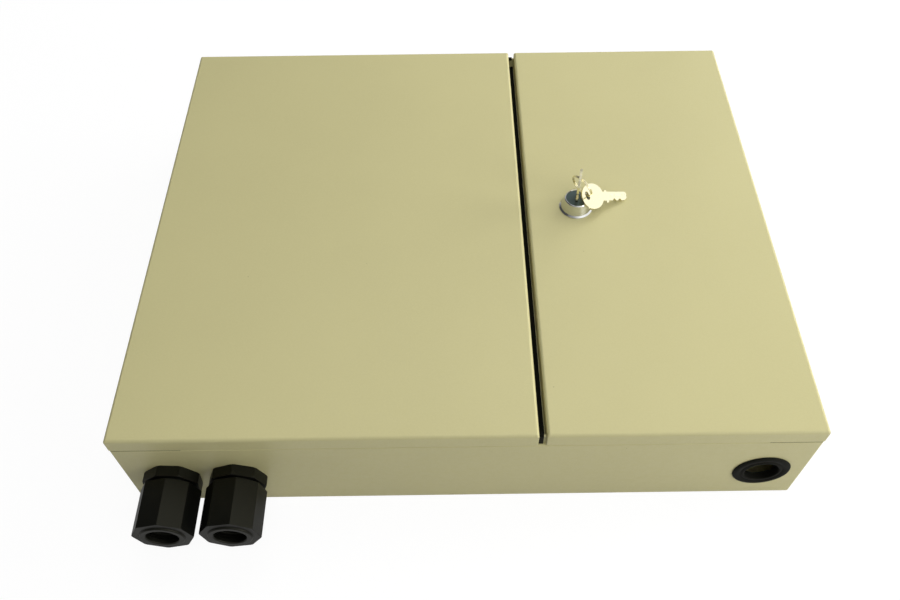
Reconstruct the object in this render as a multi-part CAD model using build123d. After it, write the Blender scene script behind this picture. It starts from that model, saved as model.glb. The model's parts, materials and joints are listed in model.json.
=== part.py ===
from build123d import *
import math
import os

os.makedirs("parts", exist_ok=True)

# Two-door sheet-steel distribution box, lying on its back, in millimetres.
# X runs to the right, Y away from the cable glands, Z out of the doors.
# The origin is the centre of the back panel's wall face.

# Overall size and sheet
WIDTH = 420.0
HEIGHT = 350.0
DEPTH = 82.0
SHEET = 1.2
BEND = 2.0
CORNER = 1.0

# Doors
SKIRT = 11.3
GAP = 4.4
GAP_X = 44.0
SEAM = 1.0

# Body tray: its rim lip stands inside the door skirts, further in on the hinge sides
BODY_INSET = 0.3
BODY_TOP = DEPTH - SKIRT - SEAM
LIP_TOP = 77.6
LIP_X = 197.6
LIP_Y = 172.7
DOOR_FACE = DEPTH - SHEET
FLOOR = SHEET
BODY_X = WIDTH / 2 - BODY_INSET
BODY_Y = HEIGHT / 2 - BODY_INSET

# Hinges: a pin near each outer corner of the section
HINGE_X = 206.0
HINGE_Z = 75.7
HINGE_Y = (-125.0, 125.0)
PIN_R = 1.5
KNUCKLE_R = 2.5
HINGE_HOLE_R = 1.57
BODY_EAR_OUT = 8.7
DOOR_EAR_OUT = 6.7
EAR = 1.5
HINGE_NOTCH = 10.5
HINGE_RELIEF_R = 5.5

# Centre partition and rain gutter below the gap between the doors
WEB_X = 37.0
FOOT = 13.0
GUTTER_END = 51.0
PARTITION_Y = 171.3
PASS_Y = 154.0
PASS_Z = 21.0
PASS_R = 12.0

# Adapter field in the partition
ADAPTERS = 12
ADAPTER_PITCH = 19.0
ADAPTER_Z = 38.0
ADAPTER_LONG = 28.0
ADAPTER_WIDE = 9.3
ADAPTER_HIGH = 12.8
ADAPTER_FLANGE = 22.0
PLATE = 1.5
PLATE_Y = 127.0
PLATE_LOW = 17.0
PLATE_HIGH = 59.0
WINDOW_Y = 118.0
WINDOW_LOW = 25.0
WINDOW_HIGH = 51.0

# Cable glands and grommet in the front wall
GLAND_X = (-181.4, -141.2)
GLAND_Z = 33.4
GLAND_HEX_R = 18.0
GLAND_HEX_LONG = 6.8
GLAND_NUT_R = 18.4
GLAND_GROOVE = 1.9
GLAND_LONG = 39.0
GLAND_THREAD_R = 14.0
GLAND_HOLE_R = 9.7
GLAND_SEAL_R = 9.0
GLAND_SEAL_LONG = 16.0
GLAND_CAP = 9.0
GLAND_INSIDE = 12.0
GLAND_FLAT_TURN = (-14.0, 1.0)
GLAND_NUT_TURN = (5.0, -9.0)
SIDES = 8
GROMMET_X = 183.1
GROMMET_Z = 33.0
GROMMET_R = 17.7
GROMMET_HOLE_R = 10.5
GROMMET_PANEL_R = 14.2

# Wall fixing holes
WALL_X = 180.0
WALL_Y = 155.0
WALL_HOLE_R = 3.5

# Cable anchorage inside, in line with the glands
SHELF_Z = 22.0
SADDLE_R = 8.5
SADDLE_SCREW = 14.0

# Cam lock in the right door
LOCK_X = 80.0
LOCK_Y = 3.1
FLANGE_R = 11.5
CONE_R = 10.4
RIM_R = 8.5
FACE_R = 7.4
LOCK_HIGH = 9.0
FACE_DEEP = 4.0
FACE_SUNK = 0.4
BARREL_R = 9.5
BARREL_FLAT = 8.0
BARREL_END = 64.0
PLUG_R = 6.0
TURN_FIT = 0.06
CAM = 2.0
CAM_REACH = 36.0
CAM_TOP = 68.1
CAM_WIDE = 12.0

# Keys and ring
BOW_R = 9.0
KEY_THICK = 1.6
KEY_STOP = 15.9
KEY_TIP = 28.6
KEY_TURN = 12.5
BLADE_HALF = 3.1
BOW_HOLE = (-4.5, 0.3)
BOW_HOLE_TURN = -69.0
BOW_HOLE_WIDE = 2.8
BOW_HOLE_LONG = 6.0
RING_R = 8.73
RING_WIRE_R = 0.5
RING_CENTRE = (82.18, 3.46, 102.11)
RING_NORMAL = (0.745, 0.618, 0.25)
SPARE_BOW = (90.24, 2.61, 92.72)
SPARE_HEADING = 18.1
SPARE_TILT = 18.9
SPARE_ROLL = 31.7

# Quarter-turn latches that hold the left door from inside
LATCH_Y = 146.0
LATCH_Z = 56.0
LATCH_R = 4.0
LATCH_ARM = 20.0
LATCH_ARM_X = 31.0
KEEPER_Y = (154.0, 164.0)
KEEPER_Z = 49.3
KEEPER_X = (18.8, 34.5)

# Splice trays
TRAY_X = (-186.0, 6.0)
TRAY_Y = (38.0, 146.0)
TRAY_WALL = 9.0
TRAY_SHEET = 1.5
TRAY_Z = (8.0, 19.0)
TRAY_CORNER = 18.0
STUD_X = (-176.0, -4.0)
STUD_R = 2.0
SPLICES = 12


def block(x, y, z):
    """A box between two values on each axis."""
    solid = Box(x[1] - x[0], y[1] - y[0], z[1] - z[0])
    return Pos((x[0] + x[1]) / 2, (y[0] + y[1]) / 2, (z[0] + z[1]) / 2) * solid


def rod(x, y, z, radius):
    """A cylinder along the one axis that is given as a pair."""
    ends = [value if isinstance(value, tuple) else (value, value) for value in (x, y, z)]
    middle = [(low + high) / 2 for low, high in ends]
    spans = [high - low for low, high in ends]
    solid = Cylinder(radius, max(spans))
    if spans[0] > 0:
        return Pos(*middle) * Rot(0, 90, 0) * solid
    if spans[1] > 0:
        return Pos(*middle) * Rot(90, 0, 0) * solid
    return Pos(*middle) * solid


def slab(sketch, z):
    """A sketch in the XY plane, raised between two heights."""
    return Pos(0, 0, z[0]) * extrude(sketch, z[1] - z[0])


def outline(x, y, radius):
    """A rounded rectangle between two values on each axis."""
    shape = RectangleRounded(x[1] - x[0], y[1] - y[0], radius)
    return Pos((x[0] + x[1]) / 2, (y[0] + y[1]) / 2) * shape


def upright(sketch, y):
    """A sketch of X and Z, given thickness between two values of Y."""
    facing = Plane(origin=(0, y[1], 0), x_dir=(1, 0, 0), z_dir=(0, -1, 0))
    return facing * extrude(sketch, y[1] - y[0])


def mirrored(solid):
    """The same form on the other side of the middle plane."""
    return mirror(solid, Plane.YZ)


def save(name, *solids):
    """One file for each named piece or set of like pieces."""
    bodies = [body for shape in solids for body in shape.solids()]
    export_step(Compound(children=bodies) if len(bodies) > 1 else bodies[0], f"parts/{name}.step")


def edges_at(solid, axis, value):
    """The edges that lie wholly in one plane across an axis."""
    return solid.edges().filter_by_position(axis, value - 0.01, value + 0.01)


# Body tray


def body_shell():
    outer = block((-BODY_X, BODY_X), (-BODY_Y, BODY_Y), (0, BODY_TOP))
    outer = fillet(outer.edges().filter_by(Axis.Z), CORNER)
    outer = fillet(edges_at(outer, Axis.Z, 0), BEND)
    outer = fillet(edges_at(outer, Axis.Z, BODY_TOP), BEND / 2)
    inner_x = BODY_X - SHEET
    inner_y = BODY_Y - SHEET
    shell = outer - block((-inner_x, inner_x), (-inner_y, inner_y), (FLOOR, BODY_TOP - SHEET))
    mouth_x = LIP_X - SHEET
    mouth_y = LIP_Y - SHEET
    ring = outline((-LIP_X, LIP_X), (-LIP_Y, LIP_Y), BEND)
    mouth = outline((-mouth_x, mouth_x), (-mouth_y, mouth_y), BEND - SHEET)
    shell -= slab(mouth, (BODY_TOP - 2 * SHEET, BODY_TOP + SHEET))
    shell += slab(ring - mouth, (BODY_TOP - SHEET, LIP_TOP))
    wall = (-BODY_Y - 1, -inner_y + 1)
    for x in GLAND_X:
        shell -= rod(x, wall, GLAND_Z, GLAND_THREAD_R + 0.3)
    shell -= rod(GROMMET_X, wall, GROMMET_Z, GROMMET_PANEL_R)
    for x in (-WALL_X, WALL_X):
        for y in (-WALL_Y, WALL_Y):
            shell -= rod(x, y, (-1, FLOOR + 1), WALL_HOLE_R)
    return shell


# Partition between the two compartments, folded with a foot


def partition():
    web = block((WEB_X, WEB_X + SHEET), (-PARTITION_Y, PARTITION_Y), (FLOOR, LIP_TOP))
    foot = block((WEB_X, WEB_X + FOOT), (-PARTITION_Y, PARTITION_Y), (FLOOR, FLOOR + SHEET))
    sheet = web + foot
    bend = sheet.edges().filter_by(Axis.Y).sort_by_distance((WEB_X, 0, FLOOR))[0]
    sheet = fillet(bend, SHEET)
    through = (WEB_X - 1, WEB_X + SHEET + 1)
    sheet -= block(through, (-WINDOW_Y, WINDOW_Y), (WINDOW_LOW, WINDOW_HIGH))
    for side in (-1, 1):
        sheet -= rod(through, side * PASS_Y, PASS_Z, PASS_R)
        sheet -= rod(through, side * LATCH_Y, LATCH_Z, LATCH_R + 0.15)
    return sheet


def centre_gutter():
    left = WEB_X + SHEET
    span = (-PARTITION_Y, PARTITION_Y)
    floor = block((left, GUTTER_END), span, (BODY_TOP - SHEET, BODY_TOP))
    lip = block((GUTTER_END - SHEET, GUTTER_END), span, (BODY_TOP - SHEET, LIP_TOP))
    sheet = floor + lip
    bend = sheet.edges().filter_by(Axis.Y).sort_by_distance((GUTTER_END, 0, BODY_TOP - SHEET))[0]
    return fillet(bend, SHEET * 0.9)


def partition_screws():
    x = WEB_X + FOOT - 5
    return [button_screw(x, y, FLOOR + SHEET) for y in (-160.0, -80.0, 0.0, 80.0, 160.0)]


def button_screw(x, y, z, radius=3.0, high=1.8):
    """A low round screw head with a cross recess, standing on a face."""
    head = Pos(x, y, z + high / 2) * Cylinder(radius, high)
    head = fillet(edges_at(head, Axis.Z, z + high), high * 0.6)
    reach = radius * 0.6
    recess = (z + high - 0.8, z + high + 1)
    slot = block((x - reach, x + reach), (y - 0.4, y + 0.4), recess)
    cross = block((x - 0.4, x + 0.4), (y - reach, y + reach), recess)
    return head - slot - cross


# Adapter plate, adapters and their caps


def adapter_rows():
    first = -(ADAPTERS - 1) / 2 * ADAPTER_PITCH
    return [first + n * ADAPTER_PITCH for n in range(ADAPTERS)]


def adapter_plate():
    plate = block((WEB_X - PLATE, WEB_X), (-PLATE_Y, PLATE_Y), (PLATE_LOW, PLATE_HIGH))
    half_wide = ADAPTER_WIDE / 2 + 0.1
    half_high = ADAPTER_HIGH / 2 + 0.1
    for y in adapter_rows():
        hole_y = (y - half_wide, y + half_wide)
        hole_z = (ADAPTER_Z - half_high, ADAPTER_Z + half_high)
        plate -= block((WEB_X - PLATE - 1, WEB_X + 1), hole_y, hole_z)
    return plate


def plate_screws():
    heads = []
    for y in (-PLATE_Y + 4, PLATE_Y - 4):
        for z in (PLATE_LOW + 4, PLATE_HIGH - 4):
            head = Rot(0, -90, 0) * button_screw(0, 0, 0, 2.6, 1.6)
            heads.append(Pos(WEB_X - PLATE, y, z) * head)
    return heads


def adapter(y):
    middle = WEB_X - PLATE / 2
    ends = (middle - ADAPTER_LONG / 2, middle + ADAPTER_LONG / 2)
    wide = (y - ADAPTER_WIDE / 2, y + ADAPTER_WIDE / 2)
    high = (ADAPTER_Z - ADAPTER_HIGH / 2, ADAPTER_Z + ADAPTER_HIGH / 2)
    body = block(ends, wide, high)
    flange_z = (ADAPTER_Z - ADAPTER_FLANGE / 2, ADAPTER_Z + ADAPTER_FLANGE / 2)
    body += block((WEB_X - PLATE - 2, WEB_X - PLATE), wide, flange_z)
    socket_y = (wide[0] + 0.9, wide[1] - 0.9)
    socket_z = (high[0] + 0.9, high[1] - 0.9)
    body -= block((ends[0] - 1, ends[0] + 11), socket_y, socket_z)
    body -= block((ends[1] - 11, ends[1] + 1), socket_y, socket_z)
    return body


def dust_caps(y):
    caps = []
    middle = WEB_X - PLATE / 2
    for side in (-1, 1):
        mouth = middle + side * ADAPTER_LONG / 2
        head = sorted((mouth, mouth + side * 3))
        plug = sorted((mouth - side * 9, mouth))
        cap = None
        for span, inset in ((head, 0.2), (plug, 1.0)):
            wide = ADAPTER_WIDE / 2 - inset
            high = ADAPTER_HIGH / 2 - inset
            piece = block(span, (y - wide, y + wide), (ADAPTER_Z - high, ADAPTER_Z + high))
            cap = piece if cap is None else cap + piece
        caps.append(cap)
    return caps


# Splice trays on two studs


def tray(z):
    outer = outline(TRAY_X, TRAY_Y, TRAY_CORNER)
    inner_x = (TRAY_X[0] + TRAY_SHEET, TRAY_X[1] - TRAY_SHEET)
    inner_y = (TRAY_Y[0] + TRAY_SHEET, TRAY_Y[1] - TRAY_SHEET)
    inner = outline(inner_x, inner_y, TRAY_CORNER - TRAY_SHEET)
    shell = slab(outer, (z, z + TRAY_WALL)) - slab(inner, (z + TRAY_SHEET, z + TRAY_WALL + 1))
    middle_y = (TRAY_Y[0] + TRAY_Y[1]) / 2
    for x in STUD_X:
        shell += Pos(x, middle_y, z + TRAY_WALL / 2) * Cylinder(4.5, TRAY_WALL)
        shell -= Pos(x, middle_y, z + TRAY_WALL / 2) * Cylinder(STUD_R + 0.15, TRAY_WALL + 2)
    for x in (-134.0, -46.0):
        hub = Cylinder(24.0, TRAY_WALL - 2.5) - Cylinder(22.5, TRAY_WALL)
        for turn in (45, 135):
            hub -= Rot(0, 0, turn) * Box(60, 9, 20)
        shell += Pos(x, middle_y, z + TRAY_SHEET + (TRAY_WALL - 2.5) / 2 - 0.2) * hub
    cut_y = (TRAY_Y[0] - 1, TRAY_Y[0] + 4)
    for x in (-160.0, -20.0):
        shell -= block((x - 8, x + 8), cut_y, (z + TRAY_SHEET + 1, z + TRAY_WALL + 1))
    return shell


def splice_holder(z):
    x = (TRAY_X[0] + TRAY_X[1]) / 2
    low = z + TRAY_SHEET
    y = (TRAY_Y[0] + TRAY_Y[1]) / 2
    half = 30.0
    holder = block((x - 14, x + 14), (y - half, y + half), (low, low + 1.5))
    pitch = 2 * half / (SPLICES + 1)
    for n in range(SPLICES + 1):
        rib_y = y - half + (n + 0.5) * pitch
        holder += block((x - 14, x + 14), (rib_y - 0.8, rib_y + 0.8), (low + 1, low + 5.5))
    return holder


def tray_lid():
    low = TRAY_Z[1] + TRAY_WALL
    lid = slab(outline(TRAY_X, TRAY_Y, TRAY_CORNER), (low, low + 1.5))
    middle_y = (TRAY_Y[0] + TRAY_Y[1]) / 2
    for x in STUD_X:
        lid -= rod(x, middle_y, (low - 1, low + 3), STUD_R + 0.15)
    return lid


def tray_studs():
    middle_y = (TRAY_Y[0] + TRAY_Y[1]) / 2
    studs = []
    for x in STUD_X:
        stud = rod(x, middle_y, (FLOOR, 38.0), STUD_R)
        foot = rod(x, middle_y, (FLOOR, TRAY_Z[0]), 4.5)
        studs.append(stud + foot)
    return studs


def tray_nuts():
    low = TRAY_Z[1] + TRAY_WALL + 1.5
    middle_y = (TRAY_Y[0] + TRAY_Y[1]) / 2
    nuts = []
    for x in STUD_X:
        nut = slab(RegularPolygon(4.0, 6), (low, low + 3.2))
        nut -= rod(0, 0, (low - 1, low + 4), STUD_R + 0.02)
        nuts.append(Pos(x, middle_y, 0) * nut)
    return nuts


# Mushroom posts on the back panel, which slack cable is wound round


def slack_post(x, y):
    section = Polyline(
        (0, 0),
        (9, 0),
        (9, 2),
        (5, 4),
        (5, 14),
        (11, 17),
        (11, 18.5),
        (9.5, 20),
        (0, 20),
        close=True,
    )
    turned = revolve(Plane.XZ * make_face(section), Axis.Z)
    return Pos(x, y, FLOOR) * turned


def fibre_posts():
    places = ((-130.0, -10.0), (-45.0, -10.0), (-130.0, -80.0), (-45.0, -80.0))
    return [slack_post(*place) for place in places]


def patch_posts():
    return [slack_post(x, y) for x in (95.0, 165.0) for y in (-95.0, 0.0, 95.0)]


# Cable anchorage behind the glands


def clamp_bracket():
    x = (-200.0, -122.0)
    foot = block(x, (-150, -138), (FLOOR, FLOOR + PLATE))
    rise = block(x, (-139.5, -138), (FLOOR, SHELF_Z))
    shelf = block(x, (-139.5, -122), (SHELF_Z - PLATE, SHELF_Z))
    bracket = foot + rise + shelf
    for gland_x in GLAND_X:
        for side in (-1, 1):
            bracket -= rod(gland_x + side * SADDLE_SCREW, -130, (SHELF_Z - 3, SHELF_Z + 1), 1.6)
    return bracket


def saddle(x):
    """An arched clamp over a cable in line with its gland, with two screw lugs."""
    y = (-135.0, -125.0)
    outer_r = SADDLE_R + PLATE
    lugs = block((x - outer_r - 7, x + outer_r + 7), y, (SHELF_Z, SHELF_Z + PLATE))
    legs = block((x - outer_r, x + outer_r), y, (SHELF_Z, GLAND_Z))
    arch = rod(x, y, GLAND_Z, outer_r)
    under = block((x - 20, x + 20), (-140, -120), (0, SHELF_Z))
    hollow = rod(x, (-136, -124), GLAND_Z, SADDLE_R)
    hollow += block((x - SADDLE_R, x + SADDLE_R), (-136, -124), (SHELF_Z - 1, GLAND_Z))
    clamp = lugs + legs + arch - under - hollow
    for side in (-1, 1):
        clamp -= rod(x + side * SADDLE_SCREW, -130, (SHELF_Z - 1, SHELF_Z + 3), 1.6)
    return clamp


def clamp_screws():
    heads = []
    for x in GLAND_X:
        for side in (-1, 1):
            place = x + side * SADDLE_SCREW
            shank = rod(place, -130, (SHELF_Z - 6, SHELF_Z + PLATE + 0.5), 1.5)
            heads.append(button_screw(place, -130, SHELF_Z + PLATE, 2.6) + shank)
    return heads


def strength_anchor(x):
    """A brass post with a cross hole for the cable's strength member."""
    post = block((x - 5, x + 5), (-112, -102), (FLOOR, 26))
    post -= rod(x, (-113, -101), 19, 1.6)
    post -= rod(x, -107, (19, 27), 1.7)
    return post


def earth_stud():
    return rod(-100.0, -155.0, (FLOOR, 20.0), 3.0)


def earth_hardware():
    washer = rod(0, 0, (6.4, 7.6), 6.0) - rod(0, 0, (6, 8), 3.1)
    lower = slab(RegularPolygon(5.8, 6), (FLOOR, 6.2)) - rod(0, 0, (0, 8), 3.02)
    upper = slab(RegularPolygon(5.8, 6), (7.8, 12.8)) - rod(0, 0, (7, 14), 3.02)
    return [Pos(-100.0, -155.0, 0) * piece for piece in (lower, washer, upper)]


# Cable glands: body, seal, nut outside and locknut inside


def along_wall(sketch, x, near, far, turn=0):
    """A sketch on the front wall, given length outwards between two distances from the wall."""
    facing = Plane(origin=(x, -BODY_Y - near, GLAND_Z), x_dir=(1, 0, 0), z_dir=(0, -1, 0))
    return facing * Rot(0, 0, turn) * extrude(sketch, far - near)


def eight_sided(radius, x, near, far, turn, chamfer_size=0.8):
    """An octagonal prism whose corners are turned off at both ends."""
    flat = radius * math.cos(math.pi / SIDES)
    prism = along_wall(RegularPolygon(radius, SIDES), x, near, far, turn)
    low = flat + chamfer_size
    long = far - near
    rise = radius - low + 0.5
    points = [(0, 0), (low, 0), (low + rise, rise), (low + rise, long - rise), (low, long), (0, long)]
    face = make_face(Polyline(*points, close=True))
    turned = revolve(Plane.XZ * face, Axis.Z)
    placed = Plane(origin=(x, -BODY_Y - near, GLAND_Z), x_dir=(1, 0, 0), z_dir=(0, -1, 0)) * turned
    return prism & placed


def gland_body(x, turn):
    flange = eight_sided(GLAND_HEX_R, x, 0, GLAND_HEX_LONG, turn)
    thread_end = GLAND_LONG - GLAND_CAP
    seat = thread_end - GLAND_SEAL_LONG + 3
    outside = along_wall(Circle(GLAND_THREAD_R), x, GLAND_HEX_LONG - 1, thread_end)
    inside = along_wall(Circle(GLAND_THREAD_R), x, -GLAND_INSIDE, 1)
    body = flange + outside + inside
    body -= along_wall(Circle(GLAND_HOLE_R + 1.3), x, -GLAND_INSIDE - 1, seat)
    body -= along_wall(Circle(12.4), x, seat, thread_end + 1)
    return body


def gland_seal(x):
    start = GLAND_LONG - GLAND_CAP - GLAND_SEAL_LONG + 3.2
    return along_wall(Circle(12.2) - Circle(GLAND_SEAL_R), x, start, start + GLAND_SEAL_LONG)


def gland_nut(x, turn):
    start = GLAND_HEX_LONG + GLAND_GROOVE
    nut = eight_sided(GLAND_NUT_R, x, start, GLAND_LONG - 1.0, turn, 1.0)
    nut += along_wall(Circle(13.4), x, GLAND_LONG - 2, GLAND_LONG)
    nut -= along_wall(Circle(GLAND_THREAD_R + 0.35), x, start - 1, GLAND_LONG - 6.0)
    nut -= along_wall(Circle(12.6), x, GLAND_LONG - 6.5, GLAND_LONG - 3.0)
    nut -= along_wall(Circle(GLAND_HOLE_R), x, GLAND_LONG - 4, GLAND_LONG + 1)
    rim = nut.edges().filter_by(GeomType.CIRCLE).sort_by(Axis.Y)[0:2]
    return chamfer(rim, 0.6)


def gland_locknut(x):
    wall = SHEET + 0.05
    nut = along_wall(RegularPolygon(18.0, 6), x, -wall - 5, -wall)
    return nut - along_wall(Circle(GLAND_THREAD_R + 0.02), x, -wall - 6, -wall + 1)


def grommet(x, z, hole_r, panel_r, lip_r, wall_y):
    """A rubber ring with a groove that holds the wall's edge, turned about Y."""
    lip = 2.6
    half = SHEET / 2
    face = Polyline(
        (hole_r, -half - lip),
        (lip_r - 1.6, -half - lip),
        (lip_r, -half - 0.7),
        (lip_r, -half),
        (panel_r, -half),
        (panel_r, half),
        (lip_r - 1.0, half),
        (lip_r - 1.0, half + 0.7),
        (lip_r - 2.6, half + lip),
        (hole_r, half + lip),
        close=True,
    )
    turned = revolve(Plane.XZ * make_face(face), Axis.Z)
    return Plane(origin=(x, wall_y, z), x_dir=(1, 0, 0), z_dir=(0, 1, 0)) * turned


def outlet_grommet():
    panel_r = GROMMET_PANEL_R - 0.05
    wall_y = -BODY_Y + SHEET / 2
    return grommet(GROMMET_X, GROMMET_Z, GROMMET_HOLE_R, panel_r, GROMMET_R, wall_y)


def web_grommets():
    rings = []
    for side in (-1, 1):
        ring = grommet(0, 0, PASS_R - 3, PASS_R - 0.05, PASS_R + 2.4, 0)
        rings.append(Pos(WEB_X + SHEET / 2, side * PASS_Y, PASS_Z) * Rot(0, 0, -90) * ring)
    return rings


# Doors


def door(x):
    """A shallow pan between two values of X, hinged at its outer side."""
    y = HEIGHT / 2
    low = DEPTH - SKIRT
    pan = block(x, (-y, y), (low, DEPTH))
    pan = fillet(pan.edges().filter_by(Axis.Z), CORNER)
    pan = fillet(edges_at(pan, Axis.Z, DEPTH), BEND)
    hollow = block((x[0] + SHEET, x[1] - SHEET), (-y + SHEET, y - SHEET), (low - 1, DOOR_FACE))
    hollow = fillet(edges_at(hollow, Axis.Z, DOOR_FACE), BEND - SHEET)
    pan -= hollow
    side = 1 if abs(x[1]) > abs(x[0]) else -1
    swing = block((HINGE_X, HINGE_X + 10), (-y - 1, y + 1), (low - 1, HINGE_Z))
    swing -= rod(HINGE_X, (-y - 1, y + 1), HINGE_Z, HINGE_RELIEF_R)
    notches = swing
    for place in HINGE_Y:
        span = (place - HINGE_NOTCH, place + HINGE_NOTCH)
        notches += block((HINGE_X + 2, HINGE_X + 10), span, (low - 1, HINGE_Z + 2.8))
    pan -= notches if side > 0 else mirrored(notches)
    free = sorted((x[0] - 1, x[0] + SHEET + 1) if side > 0 else (x[1] - SHEET - 1, x[1] + 1))
    for end in (-1, 1):
        over_lip = sorted((end * (LIP_Y - SHEET - 0.8), end * (y - SHEET)))
        pan -= block(free, over_lip, (low - 1, LIP_TOP + 0.5))
    return pan


def left_door():
    return door((-WIDTH / 2, GAP_X - GAP / 2))


def right_door():
    pan = door((GAP_X + GAP / 2, WIDTH / 2))
    hole = Circle(BARREL_R + 0.15) & Rectangle(2 * BARREL_R + 2, 2 * BARREL_FLAT + 0.3)
    return pan - Pos(LOCK_X, LOCK_Y, 0) * slab(hole, (DOOR_FACE - 1, DEPTH + 1))


def gasket(x):
    """A foam frame under the door, just above the rim lips."""
    low = LIP_TOP + 0.2
    y = HEIGHT / 2 - SHEET - BEND / 2
    frame = outline(x, (-y, y), 2.0) - outline((x[0] + 6, x[1] - 6), (-y + 5, y - 5), 2.0)
    return slab(frame, (low, DOOR_FACE))


def keeper(side):
    """An L-shaped keeper on the left door, with a foot for the latch arm."""
    y = tuple(sorted((side * KEEPER_Y[0], side * KEEPER_Y[1])))
    drop = block((KEEPER_X[0], KEEPER_X[0] + SHEET), y, (KEEPER_Z, DOOR_FACE))
    foot = block(KEEPER_X, y, (KEEPER_Z, KEEPER_Z + SHEET))
    flange = block((KEEPER_X[0] - 10, KEEPER_X[0] + SHEET), y, (DOOR_FACE - SHEET, DOOR_FACE))
    return drop + foot + flange


# Hinges


def body_hinge(y):
    """A folded bracket on the body's ledge with two ears that hold the pin."""
    across = (HINGE_X - 6.5, HINGE_X - 1.5)
    base = block(across, (y - BODY_EAR_OUT, y + BODY_EAR_OUT), (BODY_TOP, BODY_TOP + SHEET))
    foot = Pos(HINGE_X - 4, BODY_TOP + SHEET / 2) * Rectangle(5, SHEET)
    ear = make_hull([*(Pos(HINGE_X, HINGE_Z) * Circle(KNUCKLE_R)).edges(), *foot.edges()])
    ear -= Pos(HINGE_X, HINGE_Z) * Circle(PIN_R + 0.02)
    bracket = base
    for low in (y - BODY_EAR_OUT, y + BODY_EAR_OUT - EAR):
        bracket += upright(ear, (low, low + EAR))
    return bracket


def door_hinge(y):
    """A folded bracket under the door with two ears that turn on the pin."""
    across = (HINGE_X - 5.5, HINGE_X + 1.5)
    base = block(across, (y - DOOR_EAR_OUT, y + DOOR_EAR_OUT), (DOOR_FACE - SHEET, DOOR_FACE))
    foot = Pos(HINGE_X - 2, DOOR_FACE - SHEET / 2) * Rectangle(7, SHEET)
    ear = make_hull([*(Pos(HINGE_X, HINGE_Z) * Circle(KNUCKLE_R)).edges(), *foot.edges()])
    ear -= Pos(HINGE_X, HINGE_Z) * Circle(HINGE_HOLE_R)
    bracket = base
    for low in (y - DOOR_EAR_OUT, y + DOOR_EAR_OUT - EAR):
        bracket += upright(ear, (low, low + EAR))
    return bracket


def hinge_pin(y):
    shaft = rod(HINGE_X, (y - BODY_EAR_OUT - 1, y + BODY_EAR_OUT + 0.6), HINGE_Z, PIN_R)
    head = rod(HINGE_X, (y + BODY_EAR_OUT, y + BODY_EAR_OUT + 1.2), HINGE_Z, KNUCKLE_R - 0.1)
    return shaft + head


# Cam lock


def lock_housing():
    top = DEPTH + LOCK_HIGH
    section = Polyline(
        (PLUG_R + TURN_FIT, BARREL_END),
        (BARREL_R, BARREL_END),
        (BARREL_R, DEPTH),
        (FLANGE_R, DEPTH),
        (FLANGE_R, DEPTH + 0.5),
        (CONE_R, DEPTH + 1.5),
        (RIM_R, top - 0.5),
        (RIM_R - 0.5, top),
        (FACE_R + 0.3, top),
        (FACE_R + TURN_FIT, top - 0.4),
        (FACE_R + TURN_FIT, top - FACE_DEEP),
        (PLUG_R + TURN_FIT, top - FACE_DEEP),
        close=True,
    )
    turned = revolve(Plane.XZ * make_face(section), Axis.Z)
    for side in (-1, 1):
        y = tuple(sorted((side * BARREL_FLAT, side * (BARREL_R + 1))))
        turned -= block((-FLANGE_R, FLANGE_R), y, (BARREL_END - 1, DEPTH))
    return Pos(LOCK_X, LOCK_Y, 0) * turned


def lock_hex_nut():
    nut = RegularPolygon(13.0, 6) - Circle(BARREL_R + 0.03)
    return Pos(LOCK_X, LOCK_Y, 0) * slab(nut, (DOOR_FACE - 5.2, DOOR_FACE - 1.2))


def lock_washer():
    ring = Circle(12.4) - Circle(BARREL_R + 0.2)
    return Pos(LOCK_X, LOCK_Y, 0) * slab(ring, (DOOR_FACE - 1.1, DOOR_FACE - 0.05))


def lock_plug():
    top = DEPTH + LOCK_HIGH
    plug = rod(0, 0, (top - FACE_DEEP + 0.1, top - FACE_SUNK), FACE_R)
    plug += rod(0, 0, (BARREL_END - 0.2, top - FACE_DEEP + 1), PLUG_R)
    plug += block((-3.5, 3.5), (-3.5, 3.5), (BARREL_END - 2.4, BARREL_END))
    key_half = KEY_THICK / 2 + 0.25
    key_low = top - FACE_SUNK + KEY_STOP - KEY_TIP - 2.0
    keyway = block((-key_half, key_half), (-BLADE_HALF - 0.4, BLADE_HALF + 0.4), (key_low, top))
    plug -= Rot(0, 0, -KEY_TURN) * keyway
    return Pos(LOCK_X, LOCK_Y, 0) * plug


def lock_cam():
    """A cranked arm that points to -Y when unlocked and rises to the gutter's level."""
    low = BARREL_END - 0.4 - CAM
    step = CAM_TOP - (low + CAM)
    points = [
        (-CAM_WIDE / 2, low),
        (CAM_WIDE / 2 + 5, low),
        (CAM_WIDE / 2 + 5 + step, low + step),
        (CAM_REACH, low + step),
        (CAM_REACH, low + step + CAM),
        (CAM_WIDE / 2 + 4 + step, low + step + CAM),
        (CAM_WIDE / 2 + 4, low + CAM),
        (-CAM_WIDE / 2, low + CAM),
    ]
    side_view = make_face(Polyline(*points, close=True))
    arm = Pos(0, CAM_WIDE / 2, 0) * extrude(Plane.XZ * side_view, CAM_WIDE)
    ends = arm.edges().filter_by(Axis.Z).sort_by(Axis.X)
    arm = fillet([*ends[:2], *ends[-2:]], CAM_WIDE / 2 - 1.5)
    arm -= block((-3.55, 3.55), (-3.55, 3.55), (low - 1, low + CAM + 1))
    return Pos(LOCK_X, LOCK_Y, 0) * Rot(0, 0, -90) * arm


def cam_screw():
    low = BARREL_END - 2.5
    head = rod(0, 0, (low - 2.4, low), 5.0)
    return Pos(LOCK_X, LOCK_Y, 0) * chamfer(edges_at(head, Axis.Z, low - 2.4), 0.8)


# Keys


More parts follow.
